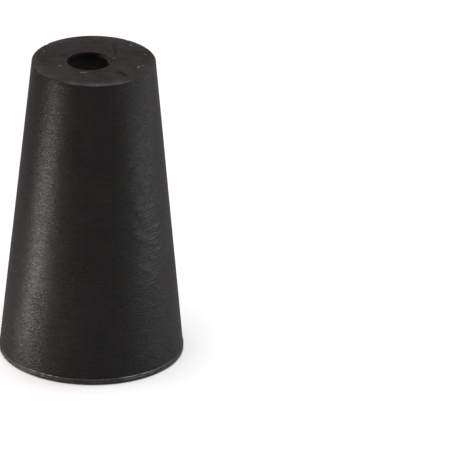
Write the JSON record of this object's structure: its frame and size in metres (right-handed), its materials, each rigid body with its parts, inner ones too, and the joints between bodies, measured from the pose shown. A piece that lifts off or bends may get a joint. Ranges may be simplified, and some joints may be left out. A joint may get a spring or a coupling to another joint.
{
  "type": "rubber stopper",
  "caption": "Tapered solid rubber stopper with a straight bore through it, for sealing a glass tube or thermometer into a narrow vessel neck.",
  "frame": {"origin": "centre of the wide end's face, on the stopper's axis", "axes": "+Z along the axis from the wide end to the narrow end; -X and -Y lie on the side that the bore is offset towards"},
  "size_m": [0.015, 0.015, 0.0254],
  "materials": {
    "rubber": "black rubber, satin and finely ground round the taper, matte on both ends"
  },
  "bodies": {
    "root": {"stopper": "rubber"}
  },
  "joints": []
}
